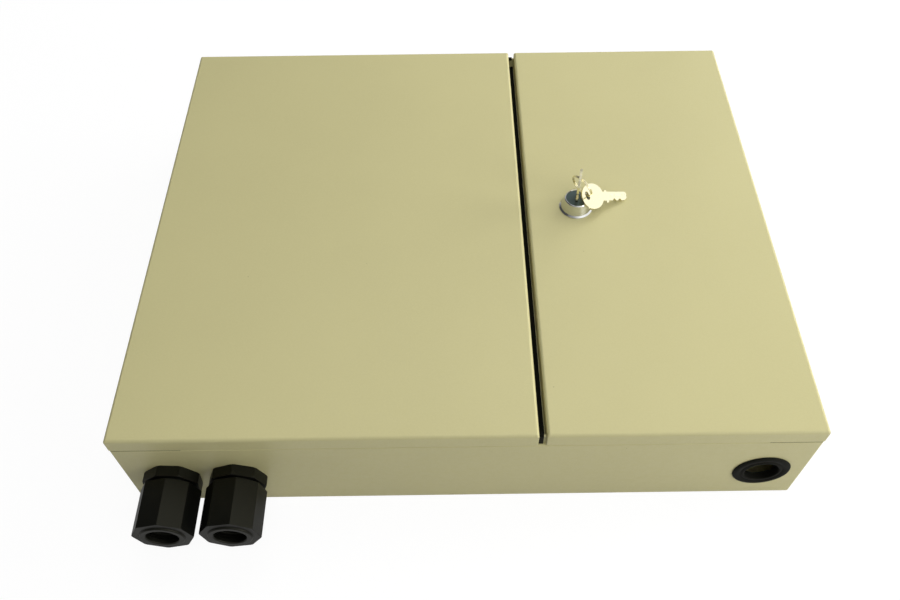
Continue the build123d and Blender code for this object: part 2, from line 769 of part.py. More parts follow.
def key_form():
    """A flat key in its own plane, bow at the origin and blade along +X."""
    bow = Circle(BOW_R)
    neck = Pos(10.0, 0) * Rectangle(6.0, 6.4)
    upper_stop = Pos(10.7, 2.0) * Rectangle(1.8, 4.3)
    lower_stop = Pos(12.1, -2.3) * Rectangle(1.8, 4.6)
    blade_points = [
        (12.0, -BLADE_HALF),
        (16.3, -BLADE_HALF),
        (17.3, -1.8),
        (18.2, -1.8),
        (19.3, -BLADE_HALF),
        (20.9, -BLADE_HALF),
        (21.9, -1.9),
        (22.8, -1.9),
        (23.9, -BLADE_HALF),
        (26.6, -2.9),
        (KEY_TIP - 0.2, -1.2),
        (KEY_TIP, 1.2),
        (KEY_TIP - 0.7, 2.6),
        (KEY_TIP - 1.8, BLADE_HALF),
        (12.0, BLADE_HALF),
    ]
    blade = make_face(Polyline(*blade_points, close=True))
    hole = Pos(*BOW_HOLE) * Rot(0, 0, BOW_HOLE_TURN) * SlotOverall(BOW_HOLE_LONG, BOW_HOLE_WIDE)
    flat = bow + neck + upper_stop + lower_stop + blade - hole
    key = extrude(flat, KEY_THICK / 2, both=True)
    groove = block((14.0, KEY_TIP + 1), (-0.2, 0.8), (KEY_THICK / 2 - 0.5, KEY_THICK))
    return key - groove


def key_in_lock():
    bow_z = DEPTH + LOCK_HIGH - FACE_SUNK + KEY_STOP
    turn = math.radians(KEY_TURN)
    facing = (math.cos(turn), -math.sin(turn), 0)
    place = Plane(origin=(LOCK_X, LOCK_Y, bow_z), x_dir=(0, 0, -1), z_dir=facing)
    return place * key_form()


def spare_key():
    turn = math.radians(SPARE_HEADING)
    fall = math.radians(SPARE_TILT)
    along = Vector(math.cos(turn) * math.cos(fall), math.sin(turn) * math.cos(fall), -math.sin(fall))
    across = Vector(-math.sin(turn), math.cos(turn), 0)
    normal = along.cross(across)
    place = Plane(origin=SPARE_BOW, x_dir=along, z_dir=normal)
    return place * Rot(SPARE_ROLL, 0, 0) * key_form()


def key_ring():
    return Plane(origin=RING_CENTRE, z_dir=RING_NORMAL) * Torus(RING_R, RING_WIRE_R)


# Inner latches of the left door


def latch_knob(side):
    """A wing knob in the right compartment with its shaft through the partition."""
    right = WEB_X + SHEET
    shaft = rod((LATCH_ARM_X - 2, right + 1), 0, 0, LATCH_R)
    collar = rod((right + 0.2, right + 2.2), 0, 0, 8.0)
    wing = block((right + 2.0, right + 11.0), (-2.2, 2.2), (-11.0, 11.0))
    wing = fillet(wing.edges().filter_by(Axis.Y), 2.5)
    return Pos(0, side * LATCH_Y, LATCH_Z) * (shaft + collar + wing)


def latch_tongue(side):
    """A flat arm on the shaft's end, between a spacer and a spring clip."""
    arm = block((LATCH_ARM_X, LATCH_ARM_X + 2), (-5, 5), (-5, LATCH_ARM))
    arm = fillet(arm.edges().filter_by(Axis.X), 3.0)
    spacer = rod((LATCH_ARM_X + 2, WEB_X - 0.2), 0, 0, 6.5)
    clip = rod((LATCH_ARM_X - 1.2, LATCH_ARM_X), 0, 0, 6.0)
    bore = rod((LATCH_ARM_X - 3, WEB_X + 1), 0, 0, LATCH_R + 0.01)
    return Pos(0, side * LATCH_Y, LATCH_Z) * (arm + spacer + clip - bore)


# Fixed pieces

save("body_shell", body_shell())
save("partition", partition())
save("centre_gutter", centre_gutter())
save("partition_screws", *partition_screws())
save("adapter_plate", adapter_plate())
save("adapter_plate_screws", *plate_screws())
save("fibre_adapters", *[adapter(y) for y in adapter_rows()])
save("adapter_dust_caps", *[cap for y in adapter_rows() for cap in dust_caps(y)])
save("splice_tray_lower", tray(TRAY_Z[0]))
save("splice_tray_upper", tray(TRAY_Z[1]))
save("splice_holders", *[splice_holder(z) for z in TRAY_Z])
save("splice_tray_lid", tray_lid())
save("tray_studs", *tray_studs())
save("tray_nuts", *tray_nuts())
save("fibre_posts", *fibre_posts())
save("patch_cord_posts", *patch_posts())
save("cable_clamp_bracket", clamp_bracket())
save("cable_clamp_saddles", *[saddle(x) for x in GLAND_X])
save("cable_clamp_screws", *clamp_screws())
save("strength_member_posts", *[strength_anchor(x) for x in GLAND_X])
save("earth_stud", earth_stud())
save("earth_nuts_and_washer", *earth_hardware())
save("web_grommets", *web_grommets())
save("outlet_grommet", outlet_grommet())

gland_places = zip(("left", "right"), GLAND_X, GLAND_FLAT_TURN, GLAND_NUT_TURN)
for name, x, flat_turn, nut_turn in gland_places:
    save(f"gland_body_{name}", gland_body(x, flat_turn))
    save(f"gland_seal_{name}", gland_seal(x))
    save(f"gland_nut_{name}", gland_nut(x, nut_turn))
    save(f"gland_locknut_{name}", gland_locknut(x))

# Doors and what turns with them

body_hinges = [body_hinge(y) for y in HINGE_Y]
door_hinges = [door_hinge(y) for y in HINGE_Y]
hinge_pins = [hinge_pin(y) for y in HINGE_Y]
save("hinge_brackets_right", *body_hinges)
save("hinge_ears_right", *door_hinges)
save("hinge_pins_right", *hinge_pins)
save("hinge_brackets_left", *[mirrored(piece) for piece in body_hinges])
save("hinge_ears_left", *[mirrored(piece) for piece in door_hinges])
save("hinge_pins_left", *[mirrored(piece) for piece in hinge_pins])
save("left_door", left_door())
save("right_door", right_door())
save("left_door_gasket", gasket((-200.0, 39.6)))
save("right_door_gasket", gasket((48.4, 200.0)))
save("left_door_keepers", keeper(-1), keeper(1))

# Lock, keys and latches

save("lock_housing", lock_housing())
save("lock_hex_nut", lock_hex_nut())
save("lock_washer", lock_washer())
save("lock_plug", lock_plug())
save("lock_cam", lock_cam())
save("cam_screw", cam_screw())
save("key_in_lock", key_in_lock())
save("spare_key", spare_key())
save("key_ring", key_ring())
for name, side in (("front", -1), ("back", 1)):
    save(f"latch_knob_{name}", latch_knob(side))
    save(f"latch_tongue_{name}", latch_tongue(side))
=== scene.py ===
import json
import math

import bmesh
import bpy
from mathutils import Matrix, Vector


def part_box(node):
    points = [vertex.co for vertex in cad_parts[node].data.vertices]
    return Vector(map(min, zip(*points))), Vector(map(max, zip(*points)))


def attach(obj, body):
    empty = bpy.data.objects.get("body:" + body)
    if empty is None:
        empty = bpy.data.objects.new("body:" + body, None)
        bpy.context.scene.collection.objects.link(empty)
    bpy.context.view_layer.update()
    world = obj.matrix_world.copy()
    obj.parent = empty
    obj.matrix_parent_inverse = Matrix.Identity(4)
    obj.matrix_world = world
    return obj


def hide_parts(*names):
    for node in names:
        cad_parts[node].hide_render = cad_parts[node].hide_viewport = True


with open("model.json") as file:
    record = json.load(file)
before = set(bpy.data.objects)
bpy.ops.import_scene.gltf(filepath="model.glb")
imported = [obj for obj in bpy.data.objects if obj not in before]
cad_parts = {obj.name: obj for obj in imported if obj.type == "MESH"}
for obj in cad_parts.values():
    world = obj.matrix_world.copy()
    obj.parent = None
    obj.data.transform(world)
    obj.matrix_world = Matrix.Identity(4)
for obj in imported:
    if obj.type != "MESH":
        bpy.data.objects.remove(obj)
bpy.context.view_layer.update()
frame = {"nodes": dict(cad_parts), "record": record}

# Camera, found from the photo's corners

CAMERA_PLACE = Vector((-0.009525, -0.401532, 0.522411))
CAMERA_RIGHT = Vector((0.99991362, -0.01134158, -0.00664239))
CAMERA_UP = Vector((0.01306994, 0.80458731, 0.59369053))
CAMERA_BACK = Vector((-0.00138901, -0.59372606, 0.80466604))
LENS_MM = 34.03
SENSOR_MM = 36.0

# Lamps: place, size in metres and power in watts

LAMPS = {
    "overhead": (Vector((0.0, 0.6, 1.6)), 1.2, 8.4),
    "front": (Vector((0.15, -0.75, 1.35)), 1.0, 6.8),
    "window": (Vector((0.9, 0.9, 0.7)), 1.0, 9.2),
    "side": (Vector((1.0, -0.8, 0.45)), 0.8, 6.0),
    "right": (Vector((2.2, 0.2, 0.6)), 1.2, 29.0),
}
UNMIRRORED = ("front", "overhead", "window", "right")

# Room and floor: what bounced light and mirrors meet

UP = Vector((0.0, 0.0, 1.0))
WHITE = (1.0, 1.0, 1.0)
AMBIENT = 0.032
ROOM_LOW = 0.096
ROOM_HIGH = 1.28
ROOM_BRIGHT_SIDE = Vector((0.84, 0.05, 0.55)).normalized()
ROOM_FADE = (0.1, 0.95)
ROOM_FRONT = 0.336
ROOM_FRONT_SIDE = Vector((0.1, -0.8, 0.55)).normalized()
FRONT_FADE = (0.5, 0.95)
ROOM_HORIZON = 0.40
HORIZON_FADE = (0.0, 0.30)
FLOOR_REACH = 4.0
FLOOR_DROP = 0.0004
FLOOR_PLAIN = (0.8, 0.8, 0.8)
FLOOR_SHADE = (0.1, 0.1, 0.1)
FLOOR_GLOW = 0.93
FLOOR_MIRRORED = 0.50

# Finish colours, linear

COAT = (0.590, 0.548, 0.282)
ZINC = (0.62, 0.62, 0.60)
CHROME = (0.66, 0.67, 0.65)
LOCK_FACE = (0.120, 0.160, 0.155)
NICKEL = (0.87, 0.82, 0.57)
NYLON = (0.0034, 0.0036, 0.0028)
RUBBER = (0.0034, 0.0036, 0.0026)
BLACK_SHEEN = (1.0, 0.97, 0.74)
FOAM = (0.035, 0.035, 0.035)
IVORY = (0.70, 0.70, 0.66)
CLEAR = (0.86, 0.90, 0.90)
BLUE = (0.030, 0.120, 0.420)
RED = (0.55, 0.05, 0.04)
BRASS = (0.65, 0.48, 0.20)

# Finish patterns: counts per metre, shares of tone, roughness and relief

MM = 0.001
NOISE_SPREAD = (0.3, 0.7)
DETAIL_PLAIN = 1.0
DETAIL_USUAL = 2.0
DETAIL_RICH = 3.0
DETAIL_RICHEST = 4.0
RELIEF = 0.6
COAT_DRIFT = 9.0
COAT_DARKER = 0.955
COAT_LIGHTER = 1.06
COAT_GRAIN = 900.0
COAT_GRAIN_SHARE = 0.35
COAT_GRAIN_SPREAD = (0.35, 0.75)
COAT_SPECKS = 46.0
COAT_SPECK_EDGE = (0.012, 0.018)
COAT_SPECK_TONE = 0.62
COAT_GLOSS = 300.0
COAT_ROUGH = (0.38, 0.52)
COAT_ROUGH_PLAIN = 0.44
COAT_WAVES = 14.0
COAT_WAVE_DEPTH = 0.6 * MM
COAT_WAVE_RELIEF = 0.30
COAT_PEEL = 750.0
COAT_PEEL_DEPTH = 0.06 * MM
METAL_CLOUD = 160.0
METAL_LINES = (300.0, 300.0, 2600.0)
METAL_LINE_DEPTH = 0.02 * MM
MOULD_CLOUD = 45.0
MOULD_DARKER = 0.84
MOULD_LIGHTER = 1.12
MOULD_GRAIN = 2200.0
MOULD_GRAIN_DEPTH = 0.03 * MM
FOAM_PORES = 1400.0
FOAM_PORE_DEPTH = 0.2 * MM
FOAM_ROUGH = 0.9
FOAM_DARKER = 0.5
FOAM_LIGHTER = 1.3
LID_CLOUD = 60.0
LID_DARKER = 0.97
LID_ROUGH = (0.05, 0.14)
LID_ROUGH_PLAIN = 0.08
LID_CLEARNESS = 0.85
LID_IOR = 1.49

# Mesh limits and steps

SMOOTH_LIMIT = math.radians(50)
SHARP_LIMIT = math.radians(25)
FLAT_LIMIT = math.radians(1)
WELD_GAP = 0.01 * MM
BEVEL_SEGMENTS = 2
WIRE_SIDES = 10
TURNED_STEPS = 96
HELIX_STEPS = 40
CORNER_STEPS = 10

# Detail sizes, in metres

SHEET = 1.2 * MM
EDGE_MOULDED = 0.35 * MM
EDGE_METAL = 0.18 * MM
EDGE_SOFT = 0.5 * MM
GROMMET_LIP_R = 17.6 * MM
GROMMET_PANEL_R = 14.1 * MM
GROMMET_HOLE_R = 10.4 * MM
GROMMET_INSIDE = 3.4 * MM
GLAND_THREAD_R = 14.0 * MM
THREAD_PITCH = 1.5 * MM
STUD_R = 2.0 * MM
STUD_FOOT_R = 4.5 * MM
STUD_PITCH = 0.7 * MM
EARTH_STUD_R = 3.0 * MM
EARTH_STUD_PITCH = 1.0 * MM
THREAD_LEAD = 0.4
THREAD_RIDGE = 0.32
THREAD_SIDES = 6
RING_WIRE = 0.42 * MM
RING_R = 8.73 * MM
RING_TURNS = 1.9
RING_NORMAL = Vector((0.745, 0.618, 0.25)).normalized()
RING_STEPS = 64
RING_SIDES = 12
SHOULDER = 69.7 * MM
RIM_SHEET = 1.4 * MM
# Sizes of two dark pieces that are painted shade: a black strip that darkens the gap between the
# doors, and black wedges that darken the seam near the outer corners
SHADE_STRIP_THICK = 0.6 * MM
SHADE_STRIP_PAST_MIDDLE = 1.9 * MM
SHADE_STRIP_END_SHORTER = 1.2 * MM
SHADE_STRIP_SIDE = 0.2 * MM
SHADE_STRIP_EDGE = 0.2 * MM
SHADE_STRIP_END_EDGE = 0.15 * MM
SHADE_PIECE_CLEAR = 0.3 * MM
SHADE_STRIP_RETURN = 3.0 * MM
# Painted shade: spans of the black wedges that darken the seam under the skirts near the outer corners
SEAM_SHADE_SPANS = ((-209.0 * MM, -168.0 * MM), (209.0 * MM, 178.0 * MM))
SEAM_CLEAR = 0.1 * MM
SEAM_THIN = 0.05 * MM
TAB_LONG = 9.0 * MM
TAB_WIDE = 6.0 * MM
TAB_THICK = 1.0 * MM
TAB_PITCH = 28.0 * MM
TAB_INSET = 0.5 * MM
TAB_EDGE = 0.25 * MM
LID_INSET = 2.0 * MM
LID_CORNER_R = 16.0 * MM
LID_BEAD_R = 0.7 * MM
ADAPTERS = 12
ADAPTER_WIDE = 9.3 * MM
CLIP_SHEET = 0.3 * MM
CLIP_HIGH = 6.0 * MM
CLIP_SPAN = (1.0 * MM, 9.0 * MM)
CLIP_BARB = (3.0 * MM, 5.0 * MM)
CLIP_EDGE = 0.1 * MM


# Materials


def shaded(color, factor):
    return tuple(channel * factor for channel in color)


class Finish:
    """A procedural material whose patterns are laid out in the object's own metres."""

    def __init__(self, name, roughness, metallic=0.0, specular=0.5):
        self.material = bpy.data.materials.new(name)
        self.material.use_nodes = True
        self.tree = self.material.node_tree
        self.shader = self.tree.nodes["Principled BSDF"]
        self.shader.inputs["Roughness"].default_value = roughness
        self.shader.inputs["Metallic"].default_value = metallic
        self.shader.inputs["Specular IOR Level"].default_value = specular
        self.coords = self.tree.nodes.new("ShaderNodeTexCoord").outputs["Object"]
        self.normal = None

    def stretched(self, scale):
        node = self.tree.nodes.new("ShaderNodeMapping")
        node.inputs["Scale"].default_value = scale
        self.tree.links.new(self.coords, node.inputs["Vector"])
        return node.outputs["Vector"]

    def noise(self, scale, detail, coords=None):
        node = self.tree.nodes.new("ShaderNodeTexNoise")
        node.inputs["Scale"].default_value = scale
        node.inputs["Detail"].default_value = detail
        self.tree.links.new(coords or self.coords, node.inputs["Vector"])
        return node.outputs["Fac"]

    def cells(self, scale):
        node = self.tree.nodes.new("ShaderNodeTexVoronoi")
        node.inputs["Scale"].default_value = scale
        self.tree.links.new(self.coords, node.inputs["Vector"])
        return node.outputs["Distance"]

    def ranged(self, source, ends, spread=NOISE_SPREAD):
        """A pattern's spread of values brought to new ends."""
        node = self.tree.nodes.new("ShaderNodeMapRange")
        node.inputs["From Min"].default_value = spread[0]
        node.inputs["From Max"].default_value = spread[1]
        node.inputs["To Min"].default_value = ends[0]
        node.inputs["To Max"].default_value = ends[1]
        self.tree.links.new(source, node.inputs["Value"])
        return node.outputs["Result"]

    def blend(self, source, first, second):
        node = self.tree.nodes.new("ShaderNodeMix")
        node.data_type = "RGBA"
        for socket, value in (("A", first), ("B", second)):
            entry = [item for item in node.inputs if item.name == socket and item.type == "RGBA"][0]
            if isinstance(value, tuple):
                entry.default_value = (*value, 1.0)
            else:
                self.tree.links.new(value, entry)
        factor = [item for item in node.inputs if item.name == "Factor" and item.type == "VALUE"][0]
        self.tree.links.new(source, factor)
        return [item for item in node.outputs if item.type == "RGBA"][0]

    def paint(self, color):
        self.tree.links.new(color, self.shader.inputs["Base Color"])

    def gloss(self, source):
        self.tree.links.new(source, self.shader.inputs["Roughness"])

    def relief(self, source, depth, strength):
        node = self.tree.nodes.new("ShaderNodeBump")
        node.inputs["Strength"].default_value = strength
        node.inputs["Distance"].default_value = depth
        self.tree.links.new(source, node.inputs["Height"])
        if self.normal is not None:
            self.tree.links.new(self.normal, node.inputs["Normal"])
        self.normal = node.outputs["Normal"]
        self.tree.links.new(self.normal, self.shader.inputs["Normal"])


def powder_coat():
    """Fine orange peel, a slow drift of tone and a few dark specks."""
    finish = Finish("powder_coat", COAT_ROUGH_PLAIN)
    drift = finish.ranged(finish.noise(COAT_DRIFT, DETAIL_RICH), (0.0, 1.0))
    tone = finish.blend(drift, shaded(COAT, COAT_DARKER), COAT)
    noise = finish.noise(COAT_GRAIN, DETAIL_RICH)
    grain = finish.ranged(noise, (0.0, COAT_GRAIN_SHARE), COAT_GRAIN_SPREAD)
    tone = finish.blend(grain, tone, shaded(COAT, COAT_LIGHTER))
    speck = finish.ranged(finish.cells(COAT_SPECKS), (1.0, 0.0), COAT_SPECK_EDGE)
    finish.paint(finish.blend(speck, tone, shaded(COAT, COAT_SPECK_TONE)))
    finish.gloss(finish.ranged(finish.noise(COAT_GLOSS, DETAIL_USUAL), COAT_ROUGH))
    finish.relief(finish.noise(COAT_WAVES, DETAIL_PLAIN), COAT_WAVE_DEPTH, COAT_WAVE_RELIEF)
    finish.relief(finish.noise(COAT_PEEL, DETAIL_USUAL), COAT_PEEL_DEPTH, RELIEF)
    return finish


def plated(name, color, rough, scratch=0.12, dull=0.86):
    """Metal with fine lines that run one way and a slight cloud in its tone."""
    finish = Finish(name, rough[0], 1.0)
    cloud = finish.noise(METAL_CLOUD, DETAIL_RICHEST)
    finish.paint(finish.blend(cloud, shaded(color, dull), color))
    lines = finish.noise(1.0, DETAIL_RICHEST, finish.stretched(METAL_LINES))
    finish.gloss(finish.ranged(lines, rough))
    finish.relief(lines, METAL_LINE_DEPTH, scratch)
    return finish


def moulded(name, color, rough, specular=0.5, sheen=WHITE):
    """Plastic or rubber with a fine grain and a slight cloud in its tone and gloss."""
    finish = Finish(name, rough[0], 0.0, specular)
    finish.shader.inputs["Specular Tint"].default_value = (*sheen, 1.0)
    cloud = finish.noise(MOULD_CLOUD, DETAIL_RICH)
    tone = finish.ranged(cloud, (0.0, 1.0))
    finish.paint(finish.blend(tone, shaded(color, MOULD_DARKER), shaded(color, MOULD_LIGHTER)))
    finish.gloss(finish.ranged(cloud, rough))
    finish.relief(finish.noise(MOULD_GRAIN, DETAIL_USUAL), MOULD_GRAIN_DEPTH, RELIEF)
    return finish


def foam():
    """Soft black foam with small open pores."""
    finish = Finish("foam", FOAM_ROUGH)
    pores = finish.cells(FOAM_PORES)
    finish.paint(finish.blend(pores, shaded(FOAM, FOAM_DARKER), shaded(FOAM, FOAM_LIGHTER)))
    finish.relief(pores, FOAM_PORE_DEPTH, RELIEF)
    return finish


def clear_lid():
    """Clear plastic with a slight cloud in its tone and gloss."""
    finish = Finish("clear_plastic", LID_ROUGH_PLAIN)
    cloud = finish.noise(LID_CLOUD, DETAIL_USUAL)
    finish.paint(finish.blend(cloud, shaded(CLEAR, LID_DARKER), CLEAR))
    finish.gloss(finish.ranged(cloud, LID_ROUGH))
    finish.shader.inputs["Transmission Weight"].default_value = LID_CLEARNESS
    finish.shader.inputs["IOR"].default_value = LID_IOR
    return finish


FINISHES = {
    "powder_coat": powder_coat(),
    "zinc_steel": plated("zinc_steel", ZINC, (0.24, 0.42)),
    "chrome": plated("chrome", CHROME, (0.05, 0.12), scratch=0.05),
    "lock_face": plated("lock_face", LOCK_FACE, (0.30, 0.44)),
    "nickel": plated("nickel", NICKEL, (0.25, 0.28), scratch=0.004, dull=0.985),
    "black_nylon": moulded("black_nylon", NYLON, (0.38, 0.48), 0.21, BLACK_SHEEN),
    "black_rubber": moulded("black_rubber", RUBBER, (0.56, 0.70), 0.12, BLACK_SHEEN),
    "foam": foam(),
    "white_plastic": moulded("white_plastic", IVORY, (0.36, 0.46)),
    "clear_plastic": clear_lid(),
    "blue_plastic": moulded("blue_plastic", BLUE, (0.28, 0.40)),
    "red_plastic": moulded("red_plastic", RED, (0.42, 0.55)),
    "brass": plated("brass", BRASS, (0.22, 0.38)),
}
SLOTS = {row["node"]: row["material_slot"] for row in frame["record"]["subparts"]}
BODIES = frame["record"]["behaviour"]["bodies"]


def dress(piece, slot):
    piece.data.materials.clear()
    piece.data.materials.append(FINISHES[slot].material)


for node, node_slot in SLOTS.items():
    dress(frame["nodes"][node], node_slot)


# Pieces in mesh code


def body_holding(node):
    return [body for body, nodes in BODIES.items() if node in nodes][0]


def middle_of(node):
    low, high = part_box(node)
    return (Vector(low) + Vector(high)) / 2


def new_piece(name, form, body, slot):
    """A mesh object from a bmesh, finished and riding on a body."""
    mesh = bpy.data.meshes.new(name)
    bmesh.ops.recalc_face_normals(form, faces=form.faces)
    form.to_mesh(mesh)
    form.free()
    piece = bpy.data.objects.new(name, mesh)
    bpy.context.scene.collection.objects.link(piece)
    mesh.shade_smooth()
    mesh.set_sharp_from_angle(angle=SMOOTH_LIMIT)
    weighted = piece.modifiers.new("weighted", "WEIGHTED_NORMAL")
    weighted.keep_sharp = True
    dress(piece, slot)
    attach(piece, body)
    return piece


def rounded(form, width):
    """The form's sharp edges broken by a small radius."""
    edges = [edge for edge in form.edges if edge.is_manifold and edge.calc_face_angle() > SHARP_LIMIT]
    bmesh.ops.bevel(
        form,
        geom=edges,
        offset=width,
        segments=BEVEL_SEGMENTS,
        profile=0.5,
        affect="EDGES",
        clamp_overlap=True,
    )


def softened(node, width, turn=0.0):
    """A copy of a plain solid with its edges broken, in that solid's place, turned about Y."""
    form = bmesh.new()
    form.from_mesh(frame["nodes"][node].data)
    bmesh.ops.remove_doubles(form, verts=form.verts, dist=WELD_GAP)
    bmesh.ops.dissolve_limit(form, angle_limit=FLAT_LIMIT, verts=form.verts, edges=form.edges)
    rounded(form, width)
    if turn:
        about = Matrix.Rotation(math.radians(turn), 3, "Y")
        bmesh.ops.rotate(form, verts=form.verts, cent=middle_of(node), matrix=about)
    piece = new_piece(node + "_finished", form, body_holding(node), SLOTS[node])
    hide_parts(node)


def sweep(name, points, radius, body, slot, closed=False, sides=WIRE_SIDES):
    """A round wire through points, with its ends closed."""
    form = bmesh.new()
    loops = []
    count = len(points)
    for place in range(count):
        ahead = points[(place + 1) % count] if closed or place < count - 1 else points[place]
        behind = points[place - 1] if closed or place > 0 else points[place]
        along = (ahead - behind).normalized()
        if loops:
            across = (across - along * across.dot(along)).normalized()
        else:
            across = along.orthogonal().normalized()
        up = along.cross(across)
        loop = []
        for side in range(sides):
            turn = 2 * math.pi * side / sides
            offset = across * math.cos(turn) * radius + up * math.sin(turn) * radius
            loop.append(form.verts.new(points[place] + offset))
        loops.append(loop)
    following = loops[1:] + loops[:1] if closed else loops[1:]
    for first, second in zip(loops, following):
        for side in range(sides):
            after = (side + 1) % sides
            form.faces.new((first[side], first[after], second[after], second[side]))
    if not closed:
        form.faces.new(loops[0])
        form.faces.new(loops[-1])
    return new_piece(name, form, body, slot)


def helix(centre, axis, radius, pitch, turns, steps=HELIX_STEPS):
    """Points of a helix that starts at centre and climbs along axis."""
    along = Vector(axis).normalized()
    across = along.orthogonal().normalized()
    up = along.cross(across)
    points = []
    for step in range(int(turns * steps) + 1):
        angle = 2 * math.pi * step / steps
        place = Vector(centre) + along * pitch * step / steps
        points.append(place + across * math.cos(angle) * radius + up * math.sin(angle) * radius)
    return points


def plate(x, y, z, width=0.0):
    """A rectangular solid between pairs of values, with broken edges."""
    form = bmesh.new()
    bmesh.ops.create_cube(form, size=1.0)
    size = Vector((x[1] - x[0], y[1] - y[0], z[1] - z[0]))
    middle = Vector((x[0] + x[1], y[0] + y[1], z[0] + z[1])) / 2
    for vert in form.verts:
        vert.co = Vector(a * b for a, b in zip(vert.co, size)) + middle
    if width:
        rounded(form, width)
    return form


def turned(profile, centre, axis):
    """A solid of revolution from a closed outline of (radius, distance along axis)."""
    form = bmesh.new()
    along = Vector(axis).normalized()
    across = along.orthogonal().normalized()
    up = along.cross(across)
    loops = []
    for step in range(TURNED_STEPS):
        angle = 2 * math.pi * step / TURNED_STEPS
        out = across * math.cos(angle) + up * math.sin(angle)
        loops.append([form.verts.new(Vector(centre) + out * r + along * h) for r, h in profile])
    count = len(profile)
    for first, second in zip(loops, loops[1:] + loops[:1]):
        for place in range(count):
            after = (place + 1) % count
            form.faces.new((first[place], first[after], second[after], second[place]))
    return form


def merged(forms):
    """Several solids as one mesh."""
    whole = bmesh.new()
    for form in forms:
        mesh = bpy.data.meshes.new("part")
        form.to_mesh(mesh)
        form.free()
        whole.from_mesh(mesh)
        bpy.data.meshes.remove(mesh)
    return whole


# Moulded, cut and soft pieces with broken edges

GLAND_TURN = {"gland_nut_left": 9.0, "gland_body_left": 13.0, "gland_nut_right": 1.5}
MOULDINGS = (
    "gland_nut_left",
    "gland_nut_right",
    "gland_body_left",
    "gland_body_right",
    "gland_locknut_left",
    "gland_locknut_right",
    "latch_knob_front",
    "latch_knob_back",
    "adapter_dust_caps",
    "fibre_adapters",
)
METAL_CUTS = (
    "key_in_lock",
    "spare_key",
    "lock_cam",
    "latch_tongue_front",
    "latch_tongue_back",
    "lock_hex_nut",
    "tray_nuts",
    "earth_nuts_and_washer",
    "strength_member_posts",
)
SOFT_PARTS = (
    "left_door_gasket",
    "right_door_gasket",
    "web_grommets",
    "gland_seal_left",
    "gland_seal_right",
)
for moulding in MOULDINGS:
    softened(moulding, EDGE_MOULDED, GLAND_TURN.get(moulding, 0.0))
for metal in METAL_CUTS:
    softened(metal, EDGE_METAL)
for soft_part in SOFT_PARTS:
    softened(soft_part, EDGE_SOFT)


# Rubber grommet in the front wall: a thin lip, a groove and a raised inner collar


def outlet_grommet():
    centre = middle_of("outlet_grommet")
    front_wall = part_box("body_shell")[0][1]
    lip = GROMMET_LIP_R
    bore = GROMMET_HOLE_R
    profile = (
        (bore, -GROMMET_INSIDE),
        (lip - 2.6 * MM, -GROMMET_INSIDE),
        (lip - 1.2 * MM, -2.2 * MM),
        (lip - 1.2 * MM, -1.25 * MM),
        (GROMMET_PANEL_R, -SHEET),
        (GROMMET_PANEL_R, 0.02 * MM),
        (lip - 0.3 * MM, 0.05 * MM),
        (lip, 0.4 * MM),
        (lip - 0.5 * MM, 1.1 * MM),
        (lip - 1.8 * MM, 1.6 * MM),
        (lip - 3.6 * MM, 1.5 * MM),
        (lip - 4.6 * MM, 0.9 * MM),
        (lip - 5.2 * MM, 0.9 * MM),
        (bore + 1.4 * MM, 1.5 * MM),
        (bore + 0.5 * MM, 1.5 * MM),
        (bore, 1.0 * MM),
    )
    form = turned(profile, (centre.x, front_wall, centre.z), (0, -1, 0))
    piece = new_piece("outlet_grommet_finished", form, body_holding("outlet_grommet"), "black_rubber")
    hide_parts("outlet_grommet")


outlet_grommet()


# Threads: inner ends of the glands, tray studs and earth stud


def thread(name, place, axis, ends, radius, pitch, body, slot):
    """A helical ridge round a plain shank, between two distances along its axis."""
    start, end = ends
    along = Vector(axis)
    foot = place - along * place.dot(along) + along * (start + pitch * THREAD_LEAD)
    turns = (end - start) / pitch - 2 * THREAD_LEAD
    ridge = helix(foot, axis, radius, pitch, turns)
    sweep(name, ridge, pitch * THREAD_RIDGE, body, slot, sides=THREAD_SIDES)


def gland_thread(side):
    locknut = f"gland_locknut_{side}"
    gland = f"gland_body_{side}"
    ends = (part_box(locknut)[1][1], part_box(gland)[1][1])
    name = f"gland_inner_thread_{side}"
    axis = (0, 1, 0)
    body = body_holding(gland)
    thread(name, middle_of(locknut), axis, ends, GLAND_THREAD_R, THREAD_PITCH, body, "black_nylon")


def stud_thread(name, place, nuts, stud, radius, pitch):
    """A thread on what stands of an upright stud above its nuts."""
    ends = (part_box(nuts)[1][2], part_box(stud)[1][2])
    thread(name, place, UP, ends, radius, pitch, body_holding(stud), "zinc_steel")


for gland_side in ("left", "right"):
    gland_thread(gland_side)
stud_low, stud_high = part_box("tray_studs")
stud_y = middle_of("tray_studs").y
for stud_side, stud_x in (("left", stud_low[0] + STUD_FOOT_R), ("right", stud_high[0] - STUD_FOOT_R)):
    stud_name = f"tray_stud_thread_{stud_side}"
    stud_thread(stud_name, Vector((stud_x, stud_y, 0)), "tray_nuts", "tray_studs", STUD_R, STUD_PITCH)
earth_place = middle_of("earth_stud")
earth_nuts = "earth_nuts_and_washer"
stud_thread("earth_stud_thread", earth_place, earth_nuts, "earth_stud", EARTH_STUD_R, EARTH_STUD_PITCH)


# Key ring: a split ring of nearly two coils


def split_ring():
    start = middle_of("key_ring") - RING_NORMAL * RING_WIRE * RING_TURNS
    points = helix(start, RING_NORMAL, RING_R, RING_WIRE * 2, RING_TURNS, RING_STEPS)
    body = body_holding("key_ring")
    piece = sweep("key_ring_finished", points, RING_WIRE, body, "nickel", sides=RING_SIDES)
    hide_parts("key_ring")


split_ring()
